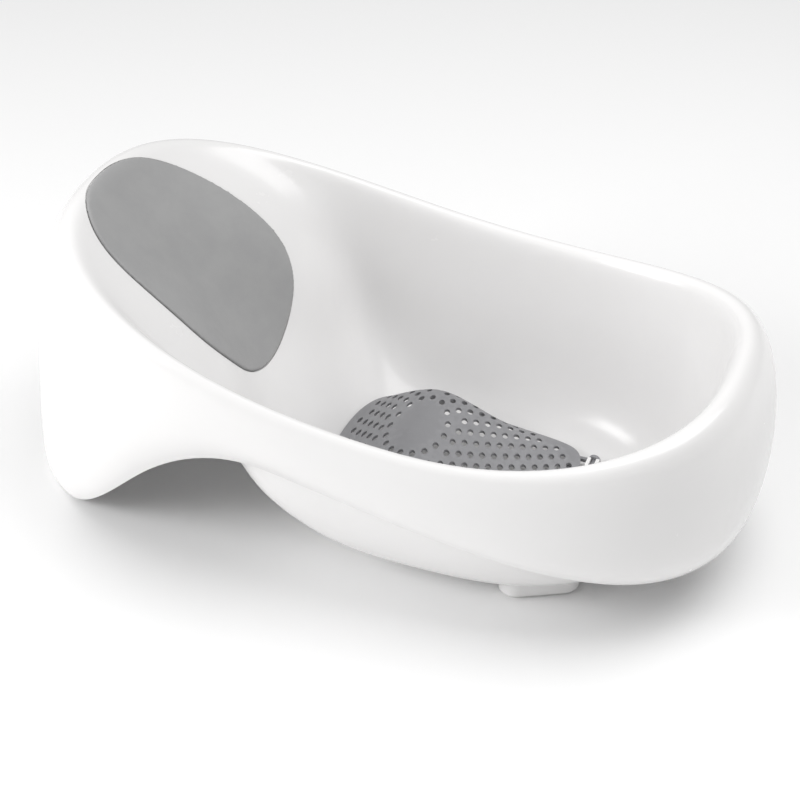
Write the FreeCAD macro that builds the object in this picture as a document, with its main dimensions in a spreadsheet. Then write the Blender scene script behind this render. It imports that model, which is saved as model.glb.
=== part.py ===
"""Baby bathtub: moulded shell, foam backrest, perforated tilt-up bump, drain plug and foot pads.

Frame: X runs along the tub from the head end (-X) to the foot end (+X), Y across it, Z up.
The origin is on the floor, in the middle of the tub's length and width.  Millimetres.
"""
import FreeCAD, Part
import Sketcher
import math
import os
from collections import namedtuple

V = FreeCAD.Vector

# name, value in mm or degrees, meaning
SIZES = [
    ("tub_length", 735.0, "overall length over the flared head wall and the bulged foot wall"),
    ("tub_width", 410.0, "overall width over the outer walls"),
    ("head_height", 304.0, "crest of the rim at the head end"),
    ("low_height", 202.0, "lowest point of the rim, beside the bather's legs"),
    ("foot_height", 236.0, "crest of the rim at the foot end"),
    ("low_place", 134.0, "distance from mid length to the lowest point of the rim"),
    ("wall", 3.0, "thickness of the moulded wall"),
    ("floor_level", 11.0, "top of the basin floor above the ground"),
    ("apron_height", 152.0, "highest point of the apron's lower edge, beside the backrest"),
    ("apron_place", 70.0, "distance from mid length to that point, towards the head"),
    ("apron_foot_drop", 93.0, "how much lower the apron's edge is at the foot end"),
    ("arch_run", 210.0, "length of the arch between the leg's tip and the apron's highest edge"),
    ("pad_upper", 148.0, "backrest pad: widest line to its upper end"),
    ("pad_lower", 98.0, "backrest pad: widest line to its lower end"),
    ("pad_half_width", 97.0, "backrest pad: half its greatest width"),
    ("pad_proud", 2.4, "how far the pad stands out of the backrest"),
    ("pad_recess", 2.0, "depth of the pad's recess"),
    ("pad_gap", 0.8, "gap around the pad in its recess"),
    ("film", 0.3, "thickness of the pad's adhesive film"),
    ("recline", 46.5, "slope of the backrest from the ground, degrees"),
    ("pad_place_x", -188.0, "middle of the pad's widest line: place along the tub"),
    ("pad_place_z", 207.0, "middle of the pad's widest line: height"),
    ("bump_length", 238.0, "bump insert: length from heel edge to toe edge"),
    ("bump_half_width", 102.0, "bump insert: half its width"),
    ("bump_heel", 31.0, "bump insert: heel edge above the floor"),
    ("bump_ridge", 81.0, "bump insert: height of the ridge's control point above the floor"),
    ("bump_toe_height", 13.0, "bump insert: toe edge above the floor"),
    ("bump_side_drop", 3.0, "bump insert: how much lower its heel corners are than its heel"),
    ("bump_sheet", 3.0, "bump insert: thickness of the sheet"),
    ("bump_toe", 188.0, "place of the bump's hinge line along the tub"),
    ("toe_gap", 10.0, "distance from the hinge line to the sheet's toe edge"),
    ("hole_half_length", 4.6, "bump insert: half an oval drain hole's size across the tub"),
    ("hole_half_width", 2.8, "bump insert: half an oval drain hole's size along the tub"),
    ("hole_pitch", 18.5, "bump insert: distance between holes in a row"),
    ("row_pitch", 9.3, "bump insert: distance between rows of holes"),
    ("patch_half_length", 28.0, "bump insert: plain patch, half its size along the tub"),
    ("patch_half_width", 48.0, "bump insert: plain patch, half its size across the tub"),
    ("pin_lift", 12.0, "height of the hinge pins above the floor"),
    ("pin_head", 1.5, "thickness of a pin's head"),
    ("pin_head_radius", 4.0, "radius of a pin's head"),
    ("pin_radius", 2.5, "radius of the bump's hinge pins"),
    ("pin_slack", 0.15, "clearance around a pin in its cradle"),
    ("lug_slack", 0.06, "clearance around a pin in the bump's lugs"),
    ("hinge_offset", 78.0, "distance of each hinge from the tub's middle line"),
    ("cradle_width", 14.0, "width of a hinge cradle across the tub"),
    ("cradle_length", 12.0, "length of a hinge cradle along the tub"),
    ("lug_width", 4.0, "thickness of one lug of the bump"),
    ("lug_radius", 6.0, "radius of a lug around its bore"),
    ("side_gap", 0.5, "gap between a lug and its cradle"),
    ("drain_radius", 16.0, "radius of the drain hole"),
    ("plug_slack", 0.3, "gap around the plug's body in the drain hole"),
    ("plug_seat", 0.3, "gap between the plug's flange and the drain's rim"),
    ("plug_flange", 5.5, "how far the plug's flange overlaps the floor"),
    ("plug_flange_height", 2.5, "thickness of the plug's flange"),
    ("plug_depth", 4.5, "depth of the plug's body below its flange"),
    ("plug_tab_height", 15.0, "height of the plug's pull tab"),
    ("plug_tab_width", 18.0, "width of the plug's pull tab"),
    ("plug_tab_sheet", 3.0, "thickness of the plug's pull tab"),
    ("finger_radius", 4.5, "radius of the hole in the plug's pull tab"),
    ("foot_place", 184.0, "place of the front feet along the tub"),
    ("foot_toe_in", 27.0, "turn of each front foot towards the middle line, degrees"),
    ("foot_offset", 90.0, "distance of each front foot from the tub's middle line"),
    ("foot_length", 78.0, "length of a front foot"),
    ("foot_width", 34.0, "width of a front foot"),
    ("foot_pad_height", 4.0, "how far a foot pad stands below its boss"),
    ("foot_pad_inset", 3.0, "rim of the moulded foot around its pad"),
    ("foot_pad_sunk", 2.0, "depth of the pocket that holds a foot pad"),
    ("foot_fit", 0.1, "gap around a foot pad in its pocket"),
]

COLUMNS = 48
OUTLINE_POINTS = 24
PAD_LOWER_SQUARE = 2.0
PAD_UPPER_SQUARE = 2.5
PRISM_BACK = 18.0
PRISM_FRONT = 70.0
DOUBLER_RIM = 7.0
RECESS_TOP = 4.0
FILM_MARGIN = 2.0
FOOT_TOP = 60.0
DRAIN_STEP = 1.0
BUMP_TOE_SQUARE = 8.0
BUMP_HEEL_SQUARE = 3.6
BUMP_CROWN = 6
BUMP_COLUMNS = 17
RIDGE_SHARE = 0.37
EDGE_BAND = 9.0
RING_HOLES = 16
RING_MARGIN = 9.0
LUG_ROOT = 16.0
LUG_FLUSH = 0.5
BLANK_MARGIN = 8.0
PIN_DATUM = "60"

# A station is one closed line round the tub.  Insets are measured inwards from the overall box:
# head, side and foot.  "centre" shifts the line's widest point towards the foot, and the two
# exponents square the line off at its head half and its foot half.
Outer = namedtuple("Outer", "head side foot square_head square_foot rise lift")
Inner = namedtuple("Inner", "head side foot square_head square_foot depth lift dish centre")

# From the apron's lower edge up to the rim: rise is the share of the way from edge to crest.
OUTER_STATIONS = [
    Outer(-6.0, 14.7, 27.0, 2.30, 2.7, 0.00, 0.0),
    Outer(-7.0, 4.0, 2.0, 2.35, 2.7, 0.00, 15.5),
    Outer(4.0, 0.1, -6.9, 2.45, 2.7, 0.35, 8.0),
    Outer(22.0, -0.9, -1.5, 2.65, 2.7, 0.75, 0.0),
    Outer(44.5, 0.1, 10.0, 2.70, 2.7, 1.00, -12.0),
    Outer(60.0, 4.0, 22.5, 2.70, 2.7, 1.00, 2.0),
]

# From the rim down the inside to the floor: depth is the share of the way from crest to floor.
INNER_STATIONS = [
    Inner(77.5, 14.7, 36.0, 2.85, 2.7, 0.000, 1.0, 0.0, 28.0),
    Inner(112.0, 19.5, 44.0, 3.2, 2.7, 0.055, 0.0, 20.0, 28.0),
    Inner(204.0, 23.4, 50.5, 4.6, 2.7, 0.200, 0.0, 60.0, 35.0),
    Inner(252.0, 32.2, 57.3, 8.0, 2.7, 0.410, 0.0, 56.0, 47.0),
    Inner(266.0, 42.8, 67.0, 7.5, 2.7, 0.640, 0.0, 11.0, 62.0),
    Inner(294.2, 59.3, 85.4, 4.0, 2.7, 0.850, 0.0, 0.0, 76.0),
    Inner(317.5, 84.6, 112.6, 2.8, 2.5, 0.975, 0.0, 0.0, 84.0),
    Inner(340.8, 115.7, 149.5, 2.3, 2.2, 1.000, 0.0, 0.0, 86.0),
]
DRAIN_PLACE = 86.0
OUTER_CENTRE = 28.0
DISH_SPREAD = 32.0
CREST = OUTER_STATIONS[-1]
SKIRT = OUTER_STATIONS[1]


def write_sheet(doc):
    """Put the driving sizes in a spreadsheet, one alias each, and return their values."""
    sheet = doc.addObject("Spreadsheet::Sheet", "Sizes")
    for row, (name, value, meaning) in enumerate(SIZES, start=1):
        sheet.set("A%d" % row, name)
        sheet.set("B%d" % row, "%g" % value)
        sheet.set("C%d" % row, meaning)
        sheet.setAlias("B%d" % row, name)
    doc.recompute()
    values = {name: float(getattr(sheet, name)) for name, _, _ in SIZES}
    return namedtuple("Sizes", values)(**values)


# ---------------------------------------------------------------- the tub's form

def crest_height(sizes, x):
    """Height of the rim's crest at x: high at the head, lowest beside the legs."""
    if x < sizes.low_place:
        reach = sizes.low_place + sizes.tub_length / 2 - CREST.head
        share = (sizes.low_place - x) / reach
        return sizes.low_height + (sizes.head_height - sizes.low_height) * share ** 1.75
    reach = sizes.tub_length / 2 - CREST.foot - sizes.low_place
    share = (x - sizes.low_place) / reach
    return sizes.low_height + (sizes.foot_height - sizes.low_height) * share ** 2


def apron_edge_height(sizes, x):
    """Height of the apron's lower edge at x: on the ground at the head, then an arch."""
    if x < -sizes.apron_place:
        share = (-sizes.apron_place - x) / sizes.arch_run
        return max(0.0, sizes.apron_height * (1 - share ** 2.1))
    share = (x + sizes.apron_place) / (sizes.apron_place + sizes.tub_length / 2 - 25)
    return sizes.apron_height - sizes.apron_foot_drop * share ** 1.1


def plan_point(sizes, station, centre, angle, dish=0.0):
    """Point of a station's plan line in the direction angle from its centre."""
    half = sizes.tub_length / 2
    cosine, sine = math.cos(angle), math.sin(angle)
    if cosine >= 0:
        reach, power = half - station.foot - centre, station.square_foot
    else:
        reach, power = half - station.head + centre, station.square_head
    side = sizes.tub_width / 2 - station.side
    radius = (abs(cosine / reach) ** power + abs(sine / side) ** power) ** (-1 / power)
    off_head = abs(math.degrees(angle) % 360 - 180)
    if off_head < DISH_SPREAD:
        radius += dish * math.cos(math.pi / 2 * off_head / DISH_SPREAD) ** 2
    return centre + radius * cosine, radius * sine


def form_net(sizes):
    """Control net of the tub's visible side: rings from the apron's edge to the drain hole."""
    net = []
    angles = [2 * math.pi * column / COLUMNS for column in range(COLUMNS)]
    crest = [crest_height(sizes, plan_point(sizes, CREST, OUTER_CENTRE, angle)[0])
             for angle in angles]
    edge = [apron_edge_height(sizes, plan_point(sizes, SKIRT, OUTER_CENTRE, angle)[0])
            for angle in angles]
    for station in OUTER_STATIONS:
        ring = []
        for angle, top, low in zip(angles, crest, edge):
            x, y = plan_point(sizes, station, OUTER_CENTRE, angle)
            ring.append(V(x, y, low + (top - low) * station.rise + station.lift))
        net.append(ring)
    for station in INNER_STATIONS:
        ring = []
        for angle, top in zip(angles, crest):
            x, y = plan_point(sizes, station, station.centre, angle, station.dish)
            z = top * (1 - station.depth) + sizes.floor_level * station.depth + station.lift
            ring.append(V(x, y, z))
        net.append(ring)
    for radius in (sizes.drain_radius + 16, sizes.drain_radius):
        net.append([V(DRAIN_PLACE + radius * math.cos(angle), radius * math.sin(angle),
                      sizes.floor_level - DRAIN_STEP) for angle in angles])
    return net


def offset_net(net, distance):
    """Net moved by distance along the form's outward normals; the apron's edge stays level."""
    moved = []
    last = len(net) - 1
    for row, ring in enumerate(net):
        new_ring = []
        for column, point in enumerate(ring):
            around = ring[(column + 1) % COLUMNS] - ring[column - 1]
            along = net[min(row + 1, last)][column] - net[max(row - 1, 0)][column]
            normal = around.cross(along)
            if row == 0:
                normal.z = 0.0
            if row == last:
                normal = V(0, 0, 1)
            normal.normalize()
            new_ring.append(point + normal * distance)
        moved.append(new_ring)
    return moved


def net_surface(net):
    """Cubic surface, closed round the tub, from a control net of rings."""
    poles = [[ring[column] for ring in net] for column in range(COLUMNS)]
    spans = len(net) - 3
    surface = Part.BSplineSurface()
    surface.buildFromPolesMultsKnots(
        poles,
        [1] * (COLUMNS + 1),
        [4] + [1] * (spans - 1) + [4],
        [float(knot) for knot in range(COLUMNS + 1)],
        [float(knot) for knot in range(spans + 1)],
        True, False, 3, 3)
    return surface


def skin_solid(outer, inner):
    """Closed solid between two nets of the same size, joined at their first and last rings."""
    spans = len(outer) - 3
    surfaces = [net_surface(outer), net_surface(inner)]
    faces = [surface.toShape() for surface in surfaces]
    for place in (0.0, float(spans)):
        edges = [surface.vIso(place).toShape() for surface in surfaces]
        faces.append(Part.makeRuledSurface(*edges))
    shell = Part.Compound(faces)
    shell.sewShape()
    solid = Part.makeSolid(shell.Shells[0] if shell.Shells else shell)
    if solid.Volume < 0:
        solid.reverse()
    return solid


def basin_space(sizes, net, distance):
    """The basin's hollow up to mid depth, its skin moved by distance along the normals."""
    rings = offset_net(net, distance)[len(OUTER_STATIONS) + 3:]
    lid = V(DRAIN_PLACE, 0, sizes.low_height)
    low = V(DRAIN_PLACE, 0, rings[-1][0].z)
    face = net_surface([[lid] * COLUMNS] + rings + [[low] * COLUMNS]).toShape()
    solid = Part.makeSolid(Part.makeShell([face]))
    if solid.Volume < 0:
        solid.reverse()
    return solid


def backrest_prism(sizes, grow, low, high):
    """Egg-shaped prism square to the backrest, from low to high along the backrest's normal."""
    slope = math.radians(sizes.recline)
    down = V(math.cos(slope), 0, -math.sin(slope))
    normal = V(math.sin(slope), 0, math.cos(slope))
    middle = V(sizes.pad_place_x, 0, sizes.pad_place_z) + normal * low
    outline = []
    for step in range(OUTLINE_POINTS):
        angle = 2 * math.pi * step / OUTLINE_POINTS
        cosine, sine = math.cos(angle), math.sin(angle)
        lower = cosine > 0
        reach = sizes.pad_lower if lower else sizes.pad_upper
        power = PAD_LOWER_SQUARE if lower else PAD_UPPER_SQUARE
        scale = (abs(cosine) ** power + abs(sine) ** power) ** (-1 / power)
        outline.append(middle + down * ((reach + grow) * scale * cosine)
                       + V(0, (sizes.pad_half_width + grow) * scale * sine, 0))
    curve = Part.BSplineCurve()
    curve.interpolate(Points=outline, PeriodicFlag=True)
    face = Part.Face(Part.Wire(curve.toShape()))
    return face.extrude(normal * (high - low))


def backrest_layer(sizes, net, grow, top, bottom):
    """Layer that follows the backrest between two distances from its surface, egg-shaped."""
    skin = skin_solid(offset_net(net, top), offset_net(net, bottom))
    return skin.common(backrest_prism(sizes, grow, -PRISM_BACK, PRISM_FRONT)).Solids[0]


def foot_frame(sizes, side):
    """Placement of a front foot: its long axis turns in towards the foot end."""
    turn = FreeCAD.Rotation(V(0, 0, 1), -side * sizes.foot_toe_in)
    return FreeCAD.Placement(V(sizes.foot_place, side * sizes.foot_offset, 0), turn)


def foot_block(sizes, side, low, high, inset):
    """Round-ended block of a front foot, between two heights."""
    half = sizes.foot_width / 2 - inset
    run = sizes.foot_length / 2 - sizes.foot_width / 2
    block = Part.makeBox(2 * run, 2 * half, high - low, V(-run, -half, low))
    ends = [Part.makeCylinder(half, high - low, V(end * run, 0, low)) for end in (-1, 1)]
    block = block.multiFuse(ends).removeSplitter()
    block.transformShape(foot_frame(sizes, side).toMatrix())
    return block


def pin_height(sizes):
    """Height of the hinge pins' axis above the ground."""
    return sizes.floor_level + sizes.pin_lift


def hinge_cradle(sizes, side, space):
    """Open-topped cradle on the basin floor that a hinge pin drops into."""
    height = pin_height(sizes) + 2 * sizes.pin_radius
    block = Part.makeBox(sizes.cradle_length, sizes.cradle_width, height,
                         V(sizes.bump_toe - sizes.cradle_length / 2,
                           side * sizes.hinge_offset - sizes.cradle_width / 2, 0))
    radius = sizes.pin_radius + sizes.pin_slack
    start = V(sizes.bump_toe, side * sizes.hinge_offset - sizes.cradle_width, pin_height(sizes))
    round_end = Part.makeCylinder(radius, 2 * sizes.cradle_width, start, V(0, 1, 0))
    slot = Part.makeBox(2 * radius, 2 * sizes.cradle_width, height, start - V(radius, 0, 0))
    return block.cut(Part.makeCompound([round_end, slot])).common(space)


def add_shape(doc, label, shape):
    """Add a finished shape to the document under a label."""
    feature = doc.addObject("Part::Feature", label)
    feature.Label = label
    feature.Shape = shape
    feature.Placement = FreeCAD.Placement()
    return feature


def make_tub_shell(doc, sizes, net):
    """One moulding: apron, rolled rim, basin, backrest recess, hinge cradles and feet."""
    shell = skin_solid(net, offset_net(net, -sizes.wall))
    back = -sizes.pad_recess - sizes.wall
    doubler = backrest_layer(sizes, net, DOUBLER_RIM, -sizes.wall / 2, back)
    inside = basin_space(sizes, net, -sizes.wall / 2)
    additions = [doubler]
    for side in (-1, 1):
        boss = foot_block(sizes, side, sizes.foot_pad_height, FOOT_TOP, 0.0).cut(inside)
        pocket_top = sizes.foot_pad_height + sizes.foot_pad_sunk
        pocket = foot_block(sizes, side, 0.0, pocket_top, sizes.foot_pad_inset - sizes.foot_fit)
        additions.append(boss.cut(pocket))
        additions.append(hinge_cradle(sizes, side, inside))
    shell = shell.multiFuse(additions)
    recess = backrest_layer(sizes, net, sizes.pad_gap, RECESS_TOP, -sizes.pad_recess)
    return add_shape(doc, "tub_shell", shell.cut(recess))


def make_backrest_pad(doc, sizes, net):
    """Soft foam pad that follows the dished backrest."""
    bottom = -sizes.pad_recess + sizes.film
    return add_shape(doc, "backrest_pad",
                     backrest_layer(sizes, net, 0.0, sizes.pad_proud, bottom))


def make_pad_film(doc, sizes, net):
    """Adhesive film that holds the pad in its recess."""
    bottom = -sizes.pad_recess
    layer = backrest_layer(sizes, net, -FILM_MARGIN, bottom + sizes.film, bottom)
    return add_shape(doc, "pad_film", layer)


# ---------------------------------------------------------------- parts made from sketches

def new_body(doc, label):
    """Empty body with the given label."""
    body = doc.addObject("PartDesign::Body", label)
    body.Label = label
    return body


def new_sketch(body, name, role):
    """Sketch on one of the body's own origin planes."""
    sketch = body.newObject("Sketcher::SketchObject", name)
    plane = [item for item in body.Origin.OriginFeatures if item.Role == role][0]
    sketch.AttachmentSupport = [(plane, "")]
    sketch.MapMode = "FlatFace"
    return sketch


def bind(sketch, kind, references, name, expression):
    """Add a dimension to a sketch and tie it to the sheet."""
    index = sketch.addConstraint(Sketcher.Constraint(kind, *references, 1.0))
    sketch.renameConstraint(index, name)
    sketch.setExpression("Constraints." + name, expression)


def polygon(sketch, corners):
    """Closed outline of straight lines; each corner's two places are sheet expressions."""
    count = len(corners)
    turn = 2 * math.pi / count
    start = [V(50 + 20 * math.cos(turn * k), 50 + 20 * math.sin(turn * k), 0) for k in range(count)]
    first = sketch.GeometryCount
    for k in range(count):
        sketch.addGeometry(Part.LineSegment(start[k], start[(k + 1) % count]), False)
    for k in range(count):
        sketch.addConstraint(Sketcher.Constraint("Coincident", first + k, 2,
                                                 first + (k + 1) % count, 1))
    for k, places in enumerate(corners):
        for kind, place in zip(("DistanceX", "DistanceY"), places):
            name = "corner%d%s" % (first + k, kind[-1])
            index = sketch.addConstraint(Sketcher.Constraint(kind, -1, 1, first + k, 1, 50.0))
            sketch.renameConstraint(index, name)
            sketch.setExpression("Constraints." + name, place)


def turned(body, name, corners):
    """Turn a profile drawn in the body's XZ plane about its own Z axis."""
    sketch = new_sketch(body, name + "_profile", "XZ_Plane")
    polygon(sketch, corners)
    revolution = body.newObject("PartDesign::Revolution", name)
    revolution.Profile = sketch
    revolution.ReferenceAxis = (sketch, ["V_Axis"])
    revolution.Angle = 360.0
    return revolution


def make_hinge_pin(doc, sizes, side, label):
    """Headed pin that joins the bump's two lugs across a cradle."""
    body = new_body(doc, label)
    half = ("(Sizes.cradle_width / 2 + Sizes.side_gap + Sizes.lug_width"
            " + Sizes.side_gap + Sizes.pin_head)")
    shaft, head = "Sizes.pin_radius", "Sizes.pin_head_radius"
    low, high = PIN_DATUM + " - " + half, PIN_DATUM + " + " + half
    levels = [low, low + " + Sizes.pin_head", high + " - Sizes.pin_head", high]
    corners = [("0", levels[0]), (head, levels[0]), (head, levels[1]), (shaft, levels[1]),
               (shaft, levels[2]), (head, levels[2]), (head, levels[3]), ("0", levels[3])]
    turned(body, "pin", corners)
    body.Placement = FreeCAD.Placement(
        V(sizes.bump_toe, side * sizes.hinge_offset + float(PIN_DATUM), pin_height(sizes)),
        FreeCAD.Rotation(V(1, 0, 0), 90))
    return body


def make_drain_plug(doc, sizes):
    """Soft plug: tapered body, flange and a pull tab with a finger hole."""
    body = new_body(doc, "drain_plug")
    flange = "Sizes.drain_radius + Sizes.plug_flange"
    shank = "Sizes.drain_radius - Sizes.plug_slack"
    top = "Sizes.plug_depth + Sizes.plug_flange_height"
    turned(body, "plug", [("0", "0"), (shank + " - 1.5", "0"), (shank, "Sizes.plug_depth - 3"),
                          (shank, "Sizes.plug_depth"), (flange, "Sizes.plug_depth"),
                          (flange, top + " - 1"), (flange + " - 1", top), ("0", top)])
    sketch = new_sketch(body, "tab_outline", "XZ_Plane")
    half, root = "Sizes.plug_tab_width / 2", "Sizes.plug_depth + Sizes.plug_flange_height - 1"
    crown = top + " + Sizes.plug_tab_height"
    polygon(sketch, [("-" + half, root), (half, root), (half, crown + " - 5"),
                     (half + " - 5", crown), ("-%s + 5" % half, crown),
                     ("-" + half, crown + " - 5")])
    tab = body.newObject("PartDesign::Pad", "tab")
    tab.Profile = sketch
    tab.Midplane = True
    tab.setExpression("Length", "Sizes.plug_tab_sheet")
    hole = new_sketch(body, "finger_hole", "XZ_Plane")
    hole.addGeometry(Part.Circle(V(0, 15, 0), V(0, 0, 1), 4), False)
    hole.addConstraint(Sketcher.Constraint("PointOnObject", 0, 3, -2))
    bind(hole, "Radius", (0,), "finger", "Sizes.finger_radius")
    bind(hole, "DistanceY", (-1, 1, 0, 3), "middle", crown + " - Sizes.finger_radius - 3")
    pocket = body.newObject("PartDesign::Pocket", "finger_pocket")
    pocket.Profile = hole
    pocket.Midplane = True
    pocket.setExpression("Length", "Sizes.plug_tab_sheet * 2")
    body.Placement = FreeCAD.Placement(
        V(DRAIN_PLACE, 0, sizes.floor_level - DRAIN_STEP + sizes.plug_seat - sizes.plug_depth),
        FreeCAD.Rotation())
    return body


def make_foot_pad(doc, sizes, side, label):
    """Non-slip pad pressed into the pocket under a front foot."""
    body = new_body(doc, label)
    sketch = new_sketch(body, "outline", "XY_Plane")
    half_length = "(Sizes.foot_length / 2 - Sizes.foot_pad_inset)"
    half_width = "(Sizes.foot_width / 2 - Sizes.foot_pad_inset)"
    polygon(sketch, [("-" + half_length, "-" + half_width), (half_length, "-" + half_width),
                     (half_length, half_width), ("-" + half_length, half_width)])
    pad = body.newObject("PartDesign::Pad", "block")
    pad.Profile = sketch
    pad.setExpression("Length", "Sizes.foot_pad_height + Sizes.foot_pad_sunk")
    doc.recompute()
    upright = ["Edge%d" % (k + 1) for k, edge in enumerate(pad.Shape.Edges)
               if abs(edge.tangentAt(edge.FirstParameter).z) > 0.9]
    ends = body.newObject("PartDesign::Fillet", "round_ends")
    ends.Base = (pad, upright)
    ends.setExpression("Radius", half_width + " * 0.999")
    body.Placement = foot_frame(sizes, side)
    return body


# ---------------------------------------------------------------- bump insert

# Control points of the bump's middle line: share of its length from the heel, which end's height
# it rises from, and the share of the way from that height to the ridge.
BUMP_PROFILE = [(0.00, "heel", 0.00), (0.06, "heel", 0.10), (0.14, "heel", 0.41),
                (0.22, "heel", 0.69), (0.30, "heel", 0.90), (0.37, "heel", 1.00),
                (0.44, "toe", 0.95), (0.53, "toe", 0.78), (0.63, "toe", 0.56),
                (0.76, "toe", 0.32), (0.90, "toe", 0.10), (1.00, "toe", 0.00)]


def bump_span(sizes):
    """Places of the bump's heel edge and toe edge along the tub."""
    toe = sizes.bump_toe - sizes.toe_gap
    return toe - sizes.bump_length, toe


def bump_net(sizes):
    """Control net of the bump's top: a ridge line that falls away towards both side edges."""
    ends = {"heel": sizes.bump_heel, "toe": sizes.bump_toe_height}
    heel, toe = bump_span(sizes)
    half = sizes.bump_half_width + BLANK_MARGIN
    net = []
    for share, end, rise in BUMP_PROFILE:
        middle = ends[end] + (sizes.bump_ridge - ends[end]) * rise
        edge = ends["heel"] - sizes.bump_side_drop
        edge += (ends["toe"] - edge) * share
        row = []
        for column in range(BUMP_COLUMNS):
            y = half * (2 * column / (BUMP_COLUMNS - 1) - 1)
            fall = min(1.0, abs(y / sizes.bump_half_width) ** BUMP_CROWN)
            height = sizes.floor_level + middle + (edge - middle) * fall
            stretch = (share - 0.5) * BLANK_MARGIN
            row.append(V(heel + (toe - heel) * share + stretch, y, height))
        net.append(row)
    return net


def open_surface(net):
    """Cubic surface from a control net that is open on all four sides."""
    knots = [[float(knot) for knot in range(count - 2)] for count in (len(net), len(net[0]))]
    mults = [[4] + [1] * (len(line) - 2) + [4] for line in knots]
    surface = Part.BSplineSurface()
    surface.buildFromPolesMultsKnots(net, mults[0], mults[1], knots[0], knots[1],
                                     False, False, 3, 3)
    return surface


def bump_blank(sizes):
    """Domed sheet of the bump before it is trimmed to its outline and drilled."""
    top = open_surface(bump_net(sizes)).toShape()
    return top.extrude(V(0, 0, -sizes.bump_sheet))


def bump_outline(sizes, height):
    """Plan prism of the bump: heel edge bowed towards the backrest, rounded corners."""
    heel, toe = bump_span(sizes)
    middle, half = (heel + toe) / 2, (toe - heel) / 2
    outline = []
    for step in range(2 * OUTLINE_POINTS):
        angle = math.pi * step / OUTLINE_POINTS
        cosine, sine = math.cos(angle), math.sin(angle)
        power = BUMP_TOE_SQUARE if cosine > 0 else BUMP_HEEL_SQUARE
        scale = (abs(cosine) ** power + abs(sine) ** power) ** (-1 / power)
        outline.append(V(middle + half * scale * cosine,
                         sizes.bump_half_width * scale * sine, 0))
    curve = Part.BSplineCurve()
    curve.interpolate(Points=outline, PeriodicFlag=True)
    return Part.Face(Part.Wire(curve.toShape())).extrude(V(0, 0, height))


def inside_bump(sizes, x, y):
    """Whether a place on the bump is clear of its rim."""
    heel, toe = bump_span(sizes)
    middle, half = (heel + toe) / 2, (toe - heel) / 2
    power = BUMP_HEEL_SQUARE if x < middle else BUMP_TOE_SQUARE
    across = abs(y) / (sizes.bump_half_width - EDGE_BAND)
    return across ** power + (abs(x - middle) / (half - EDGE_BAND)) ** power < 1


def hole_places(sizes):
    """Diamond lattice of holes over the bump and one ring of holes round its plain patch."""
    heel, toe = bump_span(sizes)
    ridge = heel + RIDGE_SHARE * (toe - heel)
    rows = int(sizes.bump_length / sizes.row_pitch)
    columns = int(sizes.bump_half_width / sizes.hole_pitch) + 1
    places = []
    for row in range(-rows, rows + 1):
        for column in range(-columns, columns + 1):
            x = ridge + row * sizes.row_pitch
            y = (column + 0.5 * (row % 2)) * sizes.hole_pitch
            along = (x - ridge) / (sizes.patch_half_length + RING_MARGIN)
            across = y / (sizes.patch_half_width + RING_MARGIN)
            if inside_bump(sizes, x, y) and along ** 2 + across ** 2 > 1:
                places.append((x, y))
    for step in range(RING_HOLES):
        angle = 2 * math.pi * step / RING_HOLES
        places.append((ridge + sizes.patch_half_length * math.cos(angle),
                       sizes.patch_half_width * math.sin(angle)))
    return places


def oval_drill(sizes, x, y, height):
    """Upright oval that cuts one drain hole, longer across the tub than along it."""
    middle = V(x, y, 0)
    oval = Part.Ellipse(middle + V(0, sizes.hole_half_length, 0),
                        middle + V(sizes.hole_half_width, 0, 0), middle)
    return Part.Face(Part.Wire(oval.toShape())).extrude(V(0, 0, height))


def bump_lug(sizes, middle):
    """Lug plate round the hinge pin, reaching up to the sheet's toe edge."""
    height = pin_height(sizes)
    start = V(sizes.bump_toe, middle - sizes.lug_width / 2, height)
    disc = Part.makeCylinder(sizes.lug_radius, sizes.lug_width, start, V(0, 1, 0))
    top = sizes.floor_level + sizes.bump_toe_height - LUG_FLUSH
    reach = sizes.toe_gap + LUG_ROOT
    low = height - sizes.lug_radius / 2
    arm = Part.makeBox(reach, sizes.lug_width, top - low,
                       V(sizes.bump_toe - reach, middle - sizes.lug_width / 2, low))
    return disc.fuse(arm)


def make_bump_insert(doc, sizes):
    """Perforated hump that stops the bather sliding: domed sheet, drain holes, hinge lugs."""
    height = 2 * (sizes.floor_level + sizes.bump_ridge)
    sheet = bump_blank(sizes).common(bump_outline(sizes, height))
    drills = [oval_drill(sizes, x, y, height) for x, y in hole_places(sizes)]
    sheet = sheet.cut(Part.makeCompound(drills))
    lugs = []
    for side in (-1, 1):
        for end in (-1, 1):
            step = sizes.cradle_width / 2 + sizes.side_gap + sizes.lug_width / 2
            lugs.append(bump_lug(sizes, side * sizes.hinge_offset + end * step))
    bores = Part.makeCylinder(sizes.pin_radius + sizes.lug_slack, 2 * sizes.bump_half_width,
                              V(sizes.bump_toe, -sizes.bump_half_width, pin_height(sizes)),
                              V(0, 1, 0))
    body = sheet.multiFuse(lugs).cut(bores)
    return add_shape(doc, "bump_insert", body)


# ---------------------------------------------------------------- assembly

def check(doc, parts):
    """Stop if any object failed or any part is not one sound solid."""
    for item in doc.Objects:
        if "Invalid" in item.State or "Error" in item.State:
            raise RuntimeError("%s did not build: %s" % (item.Label, item.State))
    for part in parts:
        shape = part.Shape
        if shape.isNull() or not shape.isValid() or len(shape.Solids) != 1:
            raise RuntimeError("%s is not one valid solid" % part.Label)


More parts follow.
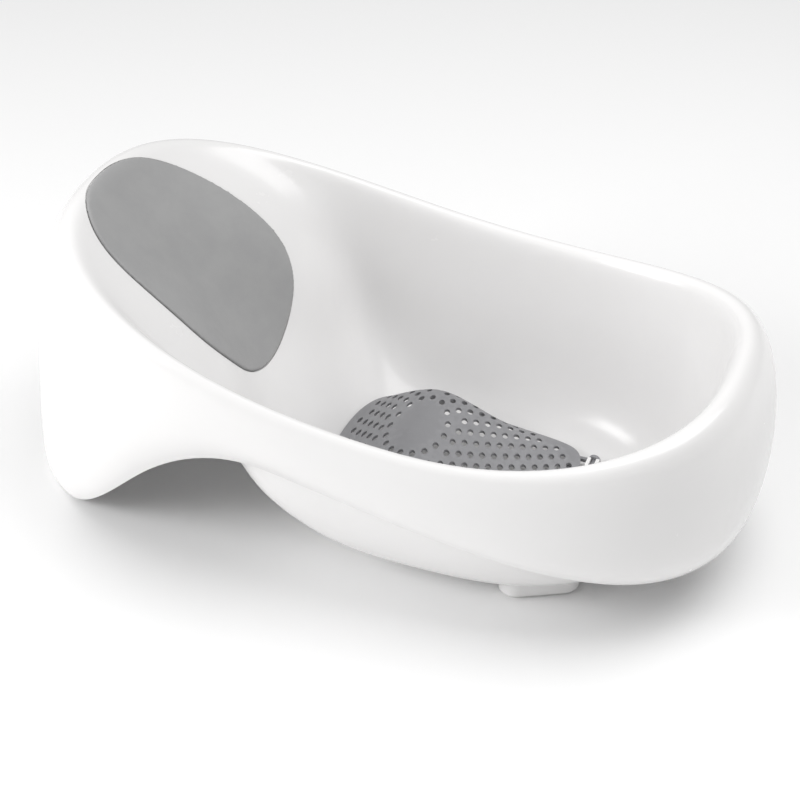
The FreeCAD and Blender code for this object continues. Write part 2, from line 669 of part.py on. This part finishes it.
def main():
    """Build the tub's parts, check them and write one STEP file for each."""
    doc = FreeCAD.newDocument("baby_bathtub")
    sizes = write_sheet(doc)
    net = form_net(sizes)
    parts = [make_tub_shell(doc, sizes, net),
             make_pad_film(doc, sizes, net),
             make_backrest_pad(doc, sizes, net),
             make_bump_insert(doc, sizes),
             make_drain_plug(doc, sizes)]
    for side, word in ((-1, "left"), (1, "right")):
        parts.append(make_hinge_pin(doc, sizes, side, "hinge_pin_" + word))
        parts.append(make_foot_pad(doc, sizes, side, "foot_pad_" + word))
    doc.recompute()
    check(doc, parts)
    os.makedirs("parts", exist_ok=True)
    for part in parts:
        part.Shape.exportStep(os.path.join("parts", part.Label + ".step"))
        box = part.Shape.BoundBox
        print("%-16s %9.0f mm3  X %6.1f %6.1f  Y %6.1f %6.1f  Z %6.1f %6.1f" % (
            part.Label, part.Shape.Volume, box.XMin, box.XMax, box.YMin, box.YMax,
            box.ZMin, box.ZMax))


main()
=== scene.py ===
"""Baby bathtub: finishes, soft backrest pad, studio floor, light and camera."""
import logging
import math
from dataclasses import dataclass
from enum import Enum

import bpy
from mathutils import Matrix, Vector


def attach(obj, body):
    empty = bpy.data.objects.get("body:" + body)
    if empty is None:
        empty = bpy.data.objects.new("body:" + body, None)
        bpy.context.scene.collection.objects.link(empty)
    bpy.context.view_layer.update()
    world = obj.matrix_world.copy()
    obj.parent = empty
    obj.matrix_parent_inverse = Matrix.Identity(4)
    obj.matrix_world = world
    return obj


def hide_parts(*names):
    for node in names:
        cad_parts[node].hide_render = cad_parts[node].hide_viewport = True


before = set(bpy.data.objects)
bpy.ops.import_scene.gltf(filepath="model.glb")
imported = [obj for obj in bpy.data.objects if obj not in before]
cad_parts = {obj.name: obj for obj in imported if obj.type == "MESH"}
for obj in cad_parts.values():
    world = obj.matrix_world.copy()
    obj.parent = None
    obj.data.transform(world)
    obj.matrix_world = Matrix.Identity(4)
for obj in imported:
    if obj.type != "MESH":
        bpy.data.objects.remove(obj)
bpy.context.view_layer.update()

Colour = tuple[float, float, float]
Place = tuple[float, float, float]
log = logging.getLogger("bathtub")

# Lengths in metres.
WELD = 0.00002
FLOOR_SIZE = 30.0
FLOOR_DROP = 0.0003
CLIP = (0.05, 100.0)

SMOOTH_ALL = 180.0  # degrees
SENSOR = 36.0  # millimetres

# Relief values that a finish can change.
RELIEF_SCALE = 900.0
RELIEF_WAVE = 0.3

# Values that every finish shares.
PLASTIC_IOR = 1.49
COAT_ROUGHNESS = 0.12
SHEEN_ROUGHNESS = 0.4
DUST_SHARE, DUST_GREY = 0.5, 0.4
RUB_ROUGHNESS = 0.2
DUST_ROUGHNESS = 0.3
PITS_PER_CELL = 2.3

# Ranges of a mask's source, and what the range is mapped onto.
WHOLE = (0.0, 1.0)
EDGE_RANGE = (0.505, 0.56)
SPECKLE_RANGE, SPECKLE_SHARE = (0.4, 0.65), (0.25, 1.0)
UPWARD_RANGE = (0.3, 1.0)
PATCH_RANGE = (0.42, 0.7)
TINT_RANGE = (0.3, 0.7)
ROUGH_RANGE = (0.25, 0.75)

# Places of the colour mixer's sockets.
MIX_FACTOR, MIX_FIRST, MIX_SECOND, MIX_RESULT = 0, 6, 7, 2


class Slot(Enum):
    """Material slots of the record."""

    SHELL = "white_shell"
    FILM = "adhesive_film"
    FOAM = "grey_foam"
    INSERT = "grey_insert"
    PIN = "grey_pin"
    PLUG = "grey_plug"
    GRIP = "white_grip"


class Texture(Enum):
    """Kinds of fine relief a finish can carry."""

    MOULDED = "moulded"
    PORES = "pores"


# ------------------------------------------------------------------ shader building

class Wiring:
    """Adds and links nodes in one tree.

    Args:
        tree: Node tree that receives the nodes.
    """

    def __init__(self, tree: bpy.types.NodeTree) -> None:
        """Keep the tree."""
        self.tree = tree

    def add(self, kind: str, **settings: object) -> bpy.types.Node:
        """Add one node.

        Args:
            kind: Node type, such as "ShaderNodeTexNoise".
            **settings: Node properties, or input values where the name is an input's name
                with its blanks written as underscores.

        Returns:
            The new node.
        """
        node = self.tree.nodes.new(kind)
        for name, value in settings.items():
            plug = node.inputs.get(name.replace("_", " ")) if name[0].isupper() else None
            if plug is None:
                setattr(node, name, value)
            else:
                plug.default_value = value
        return node

    def link(self, source: bpy.types.NodeSocket, target: bpy.types.NodeSocket) -> None:
        """Join an output to an input.

        Args:
            source: Output socket.
            target: Input socket.
        """
        self.tree.links.new(source, target)

    def math(self, operation: str, first: object, second: object) -> bpy.types.NodeSocket:
        """Combine two numbers or sockets.

        Args:
            operation: Math node operation.
            first: Socket or number.
            second: Socket or number.

        Returns:
            The result's socket.
        """
        node = self.add("ShaderNodeMath", operation=operation)
        for place, value in enumerate((first, second)):
            if isinstance(value, bpy.types.NodeSocket):
                self.link(value, node.inputs[place])
            else:
                node.inputs[place].default_value = value
        return node.outputs[0]

    def span(self, value: bpy.types.NodeSocket, source: tuple[float, float],
             target: tuple[float, float]) -> bpy.types.NodeSocket:
        """Map one range onto another, smoothly and clamped.

        Args:
            value: Socket to map.
            source: Lowest and highest value of the socket.
            target: What they are mapped onto.

        Returns:
            The mapped socket.
        """
        node = self.add("ShaderNodeMapRange", interpolation_type="SMOOTHSTEP")
        self.link(value, node.inputs["Value"])
        for name, number in zip(("From Min", "From Max", "To Min", "To Max"), source + target):
            node.inputs[name].default_value = number
        return node.outputs["Result"]


class EffectGroups:
    """Shader node groups that the finishes share; each is built once."""

    def __init__(self) -> None:
        """Start with no group built."""
        self.built: dict[str, bpy.types.NodeTree] = {}

    def start(self, name: str, inputs: dict[str, float], outputs: list[str]
              ) -> tuple[Wiring, bpy.types.Node, bpy.types.Node]:
        """Make an empty group with number sockets.

        Args:
            name: Name of the group.
            inputs: Name and default value of each input.
            outputs: Names of the outputs.

        Returns:
            Wiring of the group, its input node and its output node.
        """
        tree = bpy.data.node_groups.new(name, "ShaderNodeTree")
        for label, value in inputs.items():
            socket = tree.interface.new_socket(label, in_out="INPUT",
                                               socket_type="NodeSocketFloat")
            socket.default_value = value
        for label in outputs:
            tree.interface.new_socket(label, in_out="OUTPUT", socket_type="NodeSocketFloat")
        wiring = Wiring(tree)
        self.built[name] = tree
        return wiring, wiring.add("NodeGroupInput"), wiring.add("NodeGroupOutput")

    def moulded(self) -> bpy.types.NodeTree:
        """Fine sand of a moulding tool over the slow waviness of a thick wall.

        Returns:
            Group with Scale and Wave inputs and Height and Cloud outputs.
        """
        if "moulded_relief" in self.built:
            return self.built["moulded_relief"]
        wiring, entry, leave = self.start(
            "moulded_relief", {"Scale": RELIEF_SCALE, "Wave": RELIEF_WAVE}, ["Height", "Cloud"])
        place = wiring.add("ShaderNodeTexCoord").outputs["Object"]
        sand = wiring.add("ShaderNodeTexNoise", Detail=4.0, Roughness=0.6)
        slow = wiring.add("ShaderNodeTexNoise", Scale=7.0, Detail=1.0, Roughness=0.4)
        cloud = wiring.add("ShaderNodeTexNoise", Scale=23.0, Detail=5.0, Roughness=0.62)
        wiring.link(entry.outputs["Scale"], sand.inputs["Scale"])
        for node in (sand, slow, cloud):
            wiring.link(place, node.inputs["Vector"])
        wave = wiring.math("MULTIPLY", slow.outputs["Fac"], entry.outputs["Wave"])
        wiring.link(wiring.math("ADD", sand.outputs["Fac"], wave), leave.inputs["Height"])
        wiring.link(cloud.outputs["Fac"], leave.inputs["Cloud"])
        return wiring.tree

    def pores(self) -> bpy.types.NodeTree:
        """Pebbled skin of closed-cell foam: rounded cells with fine pits between them.

        Returns:
            Group with Scale and Wave inputs and Height and Cloud outputs.
        """
        if "foam_relief" in self.built:
            return self.built["foam_relief"]
        wiring, entry, leave = self.start(
            "foam_relief", {"Scale": RELIEF_SCALE, "Wave": RELIEF_WAVE}, ["Height", "Cloud"])
        place = wiring.add("ShaderNodeTexCoord").outputs["Object"]
        cells = wiring.add("ShaderNodeTexVoronoi", feature="SMOOTH_F1")
        pits = wiring.add("ShaderNodeTexNoise", Detail=3.0, Roughness=0.7)
        cloud = wiring.add("ShaderNodeTexNoise", Scale=31.0, Detail=6.0, Roughness=0.66)
        wiring.link(entry.outputs["Scale"], cells.inputs["Scale"])
        wiring.link(wiring.math("MULTIPLY", entry.outputs["Scale"], PITS_PER_CELL),
                    pits.inputs["Scale"])
        for node in (cells, pits, cloud):
            wiring.link(place, node.inputs["Vector"])
        dome = wiring.math("SUBTRACT", 1.0, cells.outputs["Distance"])
        pit = wiring.math("MULTIPLY", pits.outputs["Fac"], entry.outputs["Wave"])
        wiring.link(wiring.math("ADD", dome, pit), leave.inputs["Height"])
        wiring.link(cloud.outputs["Fac"], leave.inputs["Cloud"])
        return wiring.tree

    def handling(self) -> bpy.types.NodeTree:
        """Where a piece shows use: rubbed edges and a light film of dust on top.

        Returns:
            Group with Edge and Dust inputs and Rub, Film outputs.
        """
        if "handling" in self.built:
            return self.built["handling"]
        wiring, entry, leave = self.start("handling", {"Edge": 0.5, "Dust": 0.3},
                                          ["Rub", "Film"])
        place = wiring.add("ShaderNodeTexCoord").outputs["Object"]
        shape = wiring.add("ShaderNodeNewGeometry")
        speckle = wiring.add("ShaderNodeTexNoise", Scale=140.0, Detail=6.0, Roughness=0.7)
        patch = wiring.add("ShaderNodeTexNoise", Scale=11.0, Detail=3.0, Roughness=0.55)
        wiring.link(place, speckle.inputs["Vector"])
        wiring.link(place, patch.inputs["Vector"])
        edge = wiring.span(shape.outputs["Pointiness"], EDGE_RANGE, WHOLE)
        speckles = wiring.span(speckle.outputs["Fac"], SPECKLE_RANGE, SPECKLE_SHARE)
        worn = wiring.math("MULTIPLY", edge, speckles)
        wiring.link(wiring.math("MULTIPLY", worn, entry.outputs["Edge"]), leave.inputs["Rub"])
        parts = wiring.add("ShaderNodeSeparateXYZ")
        wiring.link(shape.outputs["Normal"], parts.inputs["Vector"])
        upward = wiring.span(parts.outputs["Z"], UPWARD_RANGE, WHOLE)
        patches = wiring.span(patch.outputs["Fac"], PATCH_RANGE, WHOLE)
        lying = wiring.math("MULTIPLY", upward, patches)
        wiring.link(wiring.math("MULTIPLY", lying, entry.outputs["Dust"]), leave.inputs["Film"])
        return wiring.tree


GROUPS = EffectGroups()


@dataclass(frozen=True)
class Finish:
    """One procedural finish of the tub.

    Attributes:
        name: Name of the material.
        colour: Main colour.
        shade: Second colour that drifts slowly through the first.
        rubbed: Colour of rubbed edges.
        roughness: Middle of the roughness.
        spread: How far the roughness drifts either side.
        texture: Kind of fine relief.
        scale: Scale of the relief.
        depth: Height of the relief in metres.
        wave: Share of slow waviness in the relief.
        edge: Strength of the rubbed edges.
        dust: Strength of the dust film.
        coat: Weight of a glossy skin.
        sheen: Weight of a soft sheen.
    """

    name: str
    colour: Colour
    shade: Colour
    rubbed: Colour
    roughness: float
    spread: float
    texture: Texture = Texture.MOULDED
    scale: float = RELIEF_SCALE
    depth: float = 0.00002
    wave: float = RELIEF_WAVE
    edge: float = 0.3
    dust: float = 0.1
    coat: float = 0.0
    sheen: float = 0.0

    def mix(self, wiring: Wiring, factor: bpy.types.NodeSocket, first: object,
            second: Colour) -> bpy.types.NodeSocket:
        """Blend two colours by a mask.

        Args:
            wiring: Wiring of the material.
            factor: Mask, 0 for the first colour.
            first: Colour or socket.
            second: Colour.

        Returns:
            Socket of the blend.
        """
        node = wiring.add("ShaderNodeMix", data_type="RGBA")
        wiring.link(factor, node.inputs[MIX_FACTOR])
        if isinstance(first, bpy.types.NodeSocket):
            wiring.link(first, node.inputs[MIX_FIRST])
        else:
            node.inputs[MIX_FIRST].default_value = (*first, 1.0)
        node.inputs[MIX_SECOND].default_value = (*second, 1.0)
        return node.outputs[MIX_RESULT]

    def build(self) -> bpy.types.Material:
        """Make the material.

        Returns:
            The material, ready to assign.
        """
        material = bpy.data.materials.new(self.name)
        material.use_nodes = True
        material.diffuse_color = (*self.colour, 1.0)
        material.node_tree.nodes.clear()
        wiring = Wiring(material.node_tree)
        out = wiring.add("ShaderNodeOutputMaterial")
        skin = wiring.add("ShaderNodeBsdfPrincipled")
        wiring.link(skin.outputs["BSDF"], out.inputs["Surface"])
        relief = wiring.add("ShaderNodeGroup")
        relief.node_tree = GROUPS.pores() if self.texture is Texture.PORES else GROUPS.moulded()
        relief.inputs["Scale"].default_value = self.scale
        relief.inputs["Wave"].default_value = self.wave
        use = wiring.add("ShaderNodeGroup")
        use.node_tree = GROUPS.handling()
        use.inputs["Edge"].default_value = self.edge
        use.inputs["Dust"].default_value = self.dust
        cloud = wiring.span(relief.outputs["Cloud"], TINT_RANGE, WHOLE)
        tint = self.mix(wiring, cloud, self.colour, self.shade)
        tint = self.mix(wiring, use.outputs["Rub"], tint, self.rubbed)
        dusty = tuple(DUST_SHARE * part + DUST_GREY for part in self.colour)
        wiring.link(self.mix(wiring, use.outputs["Film"], tint, dusty),
                    skin.inputs["Base Color"])
        rough = wiring.span(relief.outputs["Cloud"], ROUGH_RANGE,
                            (self.roughness - self.spread, self.roughness + self.spread))
        rubbed = wiring.math("MULTIPLY", use.outputs["Rub"], RUB_ROUGHNESS)
        filmed = wiring.math("MULTIPLY", use.outputs["Film"], DUST_ROUGHNESS)
        rough = wiring.math("ADD", rough, rubbed)
        wiring.link(wiring.math("ADD", rough, filmed), skin.inputs["Roughness"])
        bump = wiring.add("ShaderNodeBump", Strength=1.0)
        bump.inputs["Distance"].default_value = self.depth
        wiring.link(relief.outputs["Height"], bump.inputs["Height"])
        wiring.link(bump.outputs["Normal"], skin.inputs["Normal"])
        skin.inputs["IOR"].default_value = PLASTIC_IOR
        skin.inputs["Coat Weight"].default_value = self.coat
        skin.inputs["Coat Roughness"].default_value = COAT_ROUGHNESS
        skin.inputs["Sheen Weight"].default_value = self.sheen
        skin.inputs["Sheen Roughness"].default_value = SHEEN_ROUGHNESS
        return material


FINISHES: dict[Slot, Finish] = {
    Slot.SHELL: Finish("satin_white_moulding", (0.875, 0.868, 0.865), (0.868, 0.86, 0.857),
                       (0.89, 0.885, 0.88), 0.25, 0.025, depth=0.000008, wave=0.4,
                       edge=0.0, dust=0.012, coat=0.2),
    Slot.FILM: Finish("adhesive_film", (0.75, 0.74, 0.7), (0.7, 0.69, 0.65),
                      (0.8, 0.8, 0.76), 0.5, 0.08, scale=400.0, depth=0.00003),
    Slot.FOAM: Finish("foam_skin", (0.36, 0.36, 0.36), (0.342, 0.342, 0.344),
                      (0.41, 0.41, 0.41), 0.68, 0.07, texture=Texture.PORES, scale=1300.0,
                      depth=0.00009, wave=0.35, edge=0.3, dust=0.08, sheen=0.15),
    Slot.INSERT: Finish("grey_moulding", (0.255, 0.255, 0.265), (0.232, 0.232, 0.242),
                        (0.32, 0.32, 0.335), 0.46, 0.06, scale=1500.0, depth=0.00004,
                        wave=0.2, edge=0.45, dust=0.08),
    Slot.PIN: Finish("grey_pin", (0.28, 0.28, 0.296), (0.25, 0.25, 0.268),
                     (0.42, 0.42, 0.44), 0.4, 0.06, scale=1500.0, depth=0.00003),
    Slot.PLUG: Finish("grey_rubber", (0.24, 0.24, 0.252), (0.21, 0.21, 0.222),
                      (0.33, 0.33, 0.345), 0.6, 0.06, scale=1100.0, depth=0.00005,
                      edge=0.35, dust=0.15, sheen=0.1),
    Slot.GRIP: Finish("white_grip", (0.8, 0.8, 0.79), (0.74, 0.74, 0.73),
                      (0.62, 0.62, 0.6), 0.66, 0.08, scale=700.0, depth=0.00006,
                      edge=0.4, dust=0.1, sheen=0.1),
}


# ------------------------------------------------------------------ shared modelling steps

def only(piece: bpy.types.Object) -> None:
    """Make one object the only selected and the active one.

    Args:
        piece: Object to select.
    """
    if bpy.context.object and bpy.context.object.mode != "OBJECT":
        bpy.ops.object.mode_set(mode="OBJECT")
    bpy.ops.object.select_all(action="DESELECT")
    piece.hide_set(False)
    piece.select_set(True)
    bpy.context.view_layer.objects.active = piece


def settle(piece: bpy.types.Object, angle: float) -> None:
    """Apply all modifiers and the placement, and shade smooth up to an angle.

    Args:
        piece: Object to finish.
        angle: Largest angle in degrees that is still shaded smooth.
    """
    only(piece)
    for modifier in list(piece.modifiers):
        bpy.ops.object.modifier_apply(modifier=modifier.name)
    bpy.ops.object.transform_apply(location=True, rotation=True, scale=True)
    bpy.ops.object.shade_smooth_by_angle(angle=math.radians(angle))


def dress(piece: bpy.types.Object, material: bpy.types.Material) -> None:
    """Give a piece one material in every slot.

    Args:
        piece: Object to dress.
        material: Its material.
    """
    if not piece.material_slots:
        piece.data.materials.append(material)
    for slot in piece.material_slots:
        slot.material = material


def node(name: str) -> bpy.types.Object:
    """Find the object of a CAD node.

    Args:
        name: CAD node.

    Returns:
        Its object.
    """
    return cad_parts[name]


def copy_of(name: str, label: str) -> bpy.types.Object:
    """Merged copy of a CAD node's mesh as a new object at the origin.

    Args:
        name: CAD node.
        label: Name of the copy.

    Returns:
        The copy.
    """
    piece = bpy.data.objects.new(label, node(name).data.copy())
    bpy.context.scene.collection.objects.link(piece)
    piece.data.name = label
    piece.data.materials.clear()
    only(piece)
    bpy.ops.object.mode_set(mode="EDIT")
    bpy.ops.mesh.select_all(action="SELECT")
    bpy.ops.mesh.remove_doubles(threshold=WELD)
    bpy.ops.object.mode_set(mode="OBJECT")
    return piece


class SubAssembly:
    """Group of pieces that share their finishes.

    Args:
        materials: Material of each slot.
    """

    def __init__(self, materials: dict[Slot, bpy.types.Material]) -> None:
        """Keep the materials."""
        self.materials = materials

    def keep(self, name: str, slot: Slot) -> None:
        """Dress a CAD node whose shape is already right.

        Args:
            name: CAD node.
            slot: Material slot that it takes.
        """
        dress(node(name), self.materials[slot])
        log.info("kept %s in %s", name, slot.value)

    def stand_in(self, piece: bpy.types.Object, body: str, name: str, slot: Slot) -> None:
        """Put a new piece in a CAD node's place.

        Args:
            piece: Finished piece.
            body: Body that it rides on.
            name: CAD node that it replaces.
            slot: Material slot that it takes.
        """
        dress(piece, self.materials[slot])
        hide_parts(name)
        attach(piece, body)
        log.info("built %s for %s: %d faces", piece.name, name, len(piece.data.polygons))


class Tub(SubAssembly):
    """Moulded shell with its foot pads and the pad's adhesive film."""

    def build(self) -> None:
        """Dress the shell and what is fixed to it."""
        self.keep("tub_shell", Slot.SHELL)
        self.keep("pad_film", Slot.FILM)
        self.keep("foot_pad_left", Slot.GRIP)
        self.keep("foot_pad_right", Slot.GRIP)


@dataclass
class PadSizes:
    """Sizes of the backrest pad in metres.

    Attributes:
        voxel: Edge of the cells that the pad's closed form is rebuilt from.
        soften: Number of smoothing passes that round its edge.
        share: How far each pass moves a point towards its neighbours' middle.
        fill: How full the pad is; not used.
    """

    voxel: float = 0.0015
    soften: int = 10
    share: float = 0.5
    fill: float = 0.9


class BackrestPad(SubAssembly):
    """Soft foam pad in the backrest's recess.

    Args:
        materials: Material of each slot.
        sizes: Sizes of the pad.
    """

    def __init__(self, materials: dict[Slot, bpy.types.Material],
                 sizes: PadSizes = PadSizes()) -> None:
        """Keep the materials and the sizes."""
        super().__init__(materials)
        self.sizes = sizes

    def build(self) -> None:
        """Round the foam's edge over and put the pad in its recess."""
        pad = copy_of("backrest_pad", "foam_pad")
        remesh = pad.modifiers.new("cells", "REMESH")
        remesh.mode = "VOXEL"
        remesh.voxel_size = self.sizes.voxel
        soften = pad.modifiers.new("soften", "SMOOTH")
        soften.factor = self.sizes.share
        soften.iterations = self.sizes.soften
        settle(pad, SMOOTH_ALL)
        self.stand_in(pad, "tub", "backrest_pad", Slot.FOAM)


class Bump(SubAssembly):
    """Perforated insert that stops the bather sliding, with its hinge pins."""

    def build(self) -> None:
        """Dress the insert and the pins."""
        self.keep("bump_insert", Slot.INSERT)
        self.keep("hinge_pin_left", Slot.PIN)
        self.keep("hinge_pin_right", Slot.PIN)


class Drain(SubAssembly):
    """Plug of the drain hole."""

    def build(self) -> None:
        """Dress the plug."""
        self.keep("drain_plug", Slot.PLUG)


@dataclass(frozen=True)
class SoftBox:
    """One large soft light.

    Attributes:
        name: Name of the light.
        place: Where it hangs, in metres.
        target: What it points at.
        size: Its edge in metres.
        power: Its power in watts.
    """

    name: str
    place: Place
    target: Place
    size: float
    power: float

    def build(self) -> None:
        """Hang the light."""
        data = bpy.data.lights.new(self.name, "AREA")
        data.size = self.size
        data.energy = self.power
        lamp = bpy.data.objects.new(self.name, data)
        bpy.context.scene.collection.objects.link(lamp)
        lamp.location = self.place
        aim = Vector(self.target) - Vector(self.place)
        lamp.rotation_euler = aim.to_track_quat("-Z", "Y").to_euler()


@dataclass
class Studio:
    """Pale floor, soft light and the camera.

    Attributes:
        azimuth: Camera's turn round the tub, degrees.
        elevation: Camera's height above the horizon, degrees.
        eye: Camera's place in metres.
        lens: Focal length in millimetres.
        sky: Strength of the even light from all round.
        floor: Colour of the floor.
    """

    azimuth: float = 20.0
    elevation: float = 36.0
    eye: Place = (0.5515, -1.4867, 1.2641)
    lens: float = 90.0
    sky: float = 0.4
    floor: Colour = (0.97, 0.97, 0.97)

    def lights(self) -> list[SoftBox]:
        """List the soft boxes of the studio.

        Returns:
            The lights, ready to hang.
        """
        return [
            SoftBox("key_light", (-2.2, -1.6, 1.4), (0.0, 0.0, 0.1), 1.5, 54.0),
            SoftBox("top_light", (0.8, 0.2, 2.3), (-0.1, 0.0, 0.1), 1.8, 34.0),
        ]

    def build(self) -> None:
        """Lay the floor, hang the lights and set the camera."""
        bpy.ops.object.select_all(action="DESELECT")
        bpy.ops.mesh.primitive_plane_add(size=FLOOR_SIZE, location=(0.0, 0.0, -FLOOR_DROP))
        floor = bpy.context.object
        floor.name = "studio_floor"
        bpy.ops.object.transform_apply(location=True, rotation=True, scale=True)
        material = bpy.data.materials.new("studio_floor")
        material.use_nodes = True
        skin = material.node_tree.nodes["Principled BSDF"]
        skin.inputs["Base Color"].default_value = (*self.floor, 1.0)
        skin.inputs["Roughness"].default_value = 0.9
        dress(floor, material)
        world = bpy.data.worlds.new("studio_sky")
        world.use_nodes = True
        backdrop = world.node_tree.nodes["Background"]
        backdrop.inputs["Color"].default_value = (1.0, 1.0, 1.0, 1.0)
        backdrop.inputs["Strength"].default_value = self.sky
        bpy.context.scene.world = world
        for lamp in self.lights():
            lamp.build()
        bpy.context.scene.view_settings.view_transform = "Standard"
        self.camera()

    def camera(self) -> None:
        """Set the camera."""
        turn, tilt = math.radians(self.azimuth), math.radians(self.elevation)
        right = Vector((math.cos(turn), math.sin(turn), 0.0))
        back = Vector((math.sin(turn) * math.cos(tilt), -math.cos(turn) * math.cos(tilt),
                       math.sin(tilt)))
        up = back.cross(right)
        data = bpy.data.cameras.new("studio_camera")
        data.lens = self.lens
        data.sensor_width = SENSOR
        data.clip_start, data.clip_end = CLIP
        camera = bpy.data.objects.new("studio_camera", data)
        bpy.context.scene.collection.objects.link(camera)
        axes = Matrix((right, up, back)).transposed().to_4x4()
        camera.matrix_world = Matrix.Translation(self.eye) @ axes
        bpy.context.scene.camera = camera


def main() -> None:
    """Build the sub-assemblies in order, then the studio."""
    logging.basicConfig(level=logging.INFO, format="%(message)s")
    materials = {slot: finish.build() for slot, finish in FINISHES.items()}
    for part in (Tub(materials), BackrestPad(materials), Bump(materials), Drain(materials)):
        part.build()
        log.info("finished %s", type(part).__name__)
    Studio().build()


if __name__ == "__main__":
    main()
